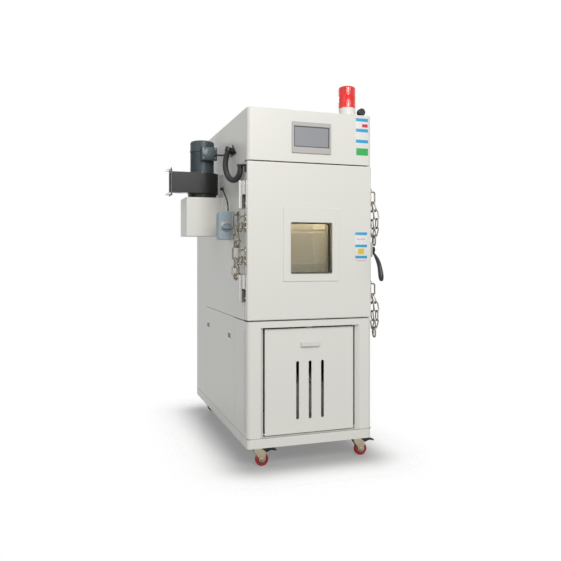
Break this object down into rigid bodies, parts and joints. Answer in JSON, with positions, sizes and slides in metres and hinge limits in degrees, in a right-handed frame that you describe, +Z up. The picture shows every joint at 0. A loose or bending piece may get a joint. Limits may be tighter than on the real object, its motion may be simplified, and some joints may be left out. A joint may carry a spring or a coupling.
{
  "type": "environmental test chamber",
  "caption": "Insulated environmental test chamber on casters with a windowed front door, touch screen, safety chains, side exhaust blower and a beacon.",
  "frame": {"origin": "on the floor, under the middle of the overall bounding box", "axes": "+Z up, the door faces -Y, +X to the right seen from the front"},
  "size_m": [0.988, 1.3224, 1.85],
  "materials": {
    "cabinet_paint": "satin textured powder coat",
    "pull_plastic": "smooth moulded",
    "stainless": "brushed",
    "chain_steel": "bare, lightly oiled",
    "chrome_plate": "polished",
    "foam": "rigid foam",
    "fins": "mill finish",
    "black_paint": "gloss",
    "motor_paint": "gloss",
    "screen_plastic": "fine texture",
    "screen_glass": "smooth",
    "white_plastic": "smooth",
    "red_lens": "clear tinted",
    "black_plastic": "moulded",
    "zinc": "zinc plated",
    "switch_paint": "satin",
    "knob_plastic": "moulded",
    "cable_rubber": "smooth sheath",
    "gasket_rubber": "smooth silicone",
    "window_glass": "clear",
    "handle_black": "smooth moulded",
    "yellow_zinc": "yellow zinc plated",
    "red_tread": "moulded"
  },
  "bodies": {
    "cabinet": {"upper_casing": "cabinet_paint", "screen_bezel": "screen_plastic", "touch_screen": "screen_glass", "rear_panel": "cabinet_paint", "lower_frame": "cabinet_paint", "base_frame": "cabinet_paint", "side_panels": "cabinet_paint", "side_pulls": "chrome_plate", "insulation": "foam", "inner_liner": "stainless", "wire_shelves": "stainless", "air_baffle": "stainless", "evaporator": "fins", "fan_motor": "motor_paint", "cable_port": "stainless", "compressor": "black_paint", "water_tank": "white_plastic", "beacon_base": "white_plastic", "beacon_lens": "red_lens", "cable_glands": "black_plastic", "duct_box": "cabinet_paint", "blower_housing": "black_paint", "outlet_bolts": "zinc", "blower_motor": "motor_paint", "switch_box": "switch_paint", "conduit_bracket": "black_paint", "left_chains": "chain_steel", "cabinet_staples": "chain_steel", "cabinet_hinge_leaves": "chrome_plate", "latch_striker": "stainless", "caster_plates": "zinc", "motor_cable": "cable_rubber", "switch_cable": "cable_rubber", "door_conduit": "black_plastic"},
    "door": {"door_shell": "cabinet_paint", "door_inner_pan": "stainless", "door_gasket": "gasket_rubber", "window_frame": "cabinet_paint", "window_panes": "window_glass", "door_hinge_leaves": "chrome_plate", "door_staples": "chain_steel", "right_chains": "chain_steel", "conduit_gland": "black_plastic", "latch_base": "stainless"},
    "handle": {"handle": "handle_black"},
    "service_panel": {"service_panel": "cabinet_paint", "panel_pull": "pull_plastic"},
    "circulation_fan": {"circulation_fan": "fins"},
    "blower_impeller": {"blower_impeller": "fins"},
    "switch_knob": {"switch_knob": "knob_plastic"},
    "front_left_fork": {"front_left_fork": "yellow_zinc"},
    "front_left_wheel": {"front_left_wheel": "red_tread"},
    "front_left_pedal": {"front_left_pedal": "black_plastic"},
    "front_right_fork": {"front_right_fork": "yellow_zinc"},
    "front_right_wheel": {"front_right_wheel": "red_tread"},
    "front_right_pedal": {"front_right_pedal": "black_plastic"},
    "rear_left_fork": {"rear_left_fork": "yellow_zinc"},
    "rear_left_wheel": {"rear_left_wheel": "red_tread"},
    "rear_right_fork": {"rear_right_fork": "yellow_zinc"},
    "rear_right_wheel": {"rear_right_wheel": "red_tread"}
  },
  "joints": [
    {"name": "door_hinge", "type": "hinge", "parent": "cabinet", "child": "door", "pos_m": [-0.21199, -0.53581, 1.073], "axis": [0, 0, -1], "range_deg": [0, 110]},
    {"name": "handle_pivot", "type": "hinge", "parent": "door", "child": "handle", "pos_m": [0.46801, -0.55681, 1.035], "axis": [-1, 0, 0], "range_deg": [0, 60]},
    {"name": "service_panel_tip", "type": "hinge", "parent": "cabinet", "child": "service_panel", "pos_m": [0.12801, -0.56231, 0.158], "axis": [1, 0, 0], "range_deg": [0, 60]},
    {"name": "circulation_fan_spin", "type": "hinge", "parent": "cabinet", "child": "circulation_fan", "pos_m": [0.12801, 0.10319, 1.215], "axis": [0, 1, 0], "continuous": true},
    {"name": "blower_impeller_spin", "type": "hinge", "parent": "cabinet", "child": "blower_impeller", "pos_m": [-0.28699, 0.00719, 1.392], "axis": [0, 0, 1], "continuous": true},
    {"name": "switch_knob_turn", "type": "hinge", "parent": "cabinet", "child": "switch_knob", "pos_m": [-0.23099, -0.33781, 1.14704], "axis": [0, 1, 0], "range_deg": [0, 90]},
    {"name": "front_left_swivel", "type": "hinge", "parent": "cabinet", "child": "front_left_fork", "pos_m": [-0.13199, -0.52481, 0.0877], "axis": [0, 0, 1], "continuous": true},
    {"name": "front_left_roll", "type": "hinge", "parent": "front_left_fork", "child": "front_left_wheel", "pos_m": [-0.10399, -0.52481, 0.0315], "axis": [0, 1, 0], "continuous": true},
    {"name": "front_left_brake", "type": "hinge", "parent": "front_left_fork", "child": "front_left_pedal", "pos_m": [-0.09399, -0.52481, 0.0717], "axis": [0, 1, 0], "range_deg": [0, 15]},
    {"name": "front_right_swivel", "type": "hinge", "parent": "cabinet", "child": "front_right_fork", "pos_m": [0.38801, -0.52481, 0.0877], "axis": [0, 0, 1], "continuous": true},
    {"name": "front_right_roll", "type": "hinge", "parent": "front_right_fork", "child": "front_right_wheel", "pos_m": [0.41601, -0.52481, 0.0315], "axis": [0, 1, 0], "continuous": true},
    {"name": "front_right_brake", "type": "hinge", "parent": "front_right_fork", "child": "front_right_pedal", "pos_m": [0.42601, -0.52481, 0.0717], "axis": [0, 1, 0], "range_deg": [0, 15]},
    {"name": "rear_left_swivel", "type": "hinge", "parent": "cabinet", "child": "rear_left_fork", "pos_m": [-0.13199, 0.59119, 0.0877], "axis": [0, 0, 1], "continuous": true},
    {"name": "rear_left_roll", "type": "hinge", "parent": "rear_left_fork", "child": "rear_left_wheel", "pos_m": [-0.10399, 0.59119, 0.0315], "axis": [0, 1, 0], "continuous": true},
    {"name": "rear_right_swivel", "type": "hinge", "parent": "cabinet", "child": "rear_right_fork", "pos_m": [0.38801, 0.59119, 0.0877], "axis": [0, 0, 1], "continuous": true},
    {"name": "rear_right_roll", "type": "hinge", "parent": "rear_right_fork", "child": "rear_right_wheel", "pos_m": [0.41601, 0.59119, 0.0315], "axis": [0, 1, 0], "continuous": true}
  ]
}
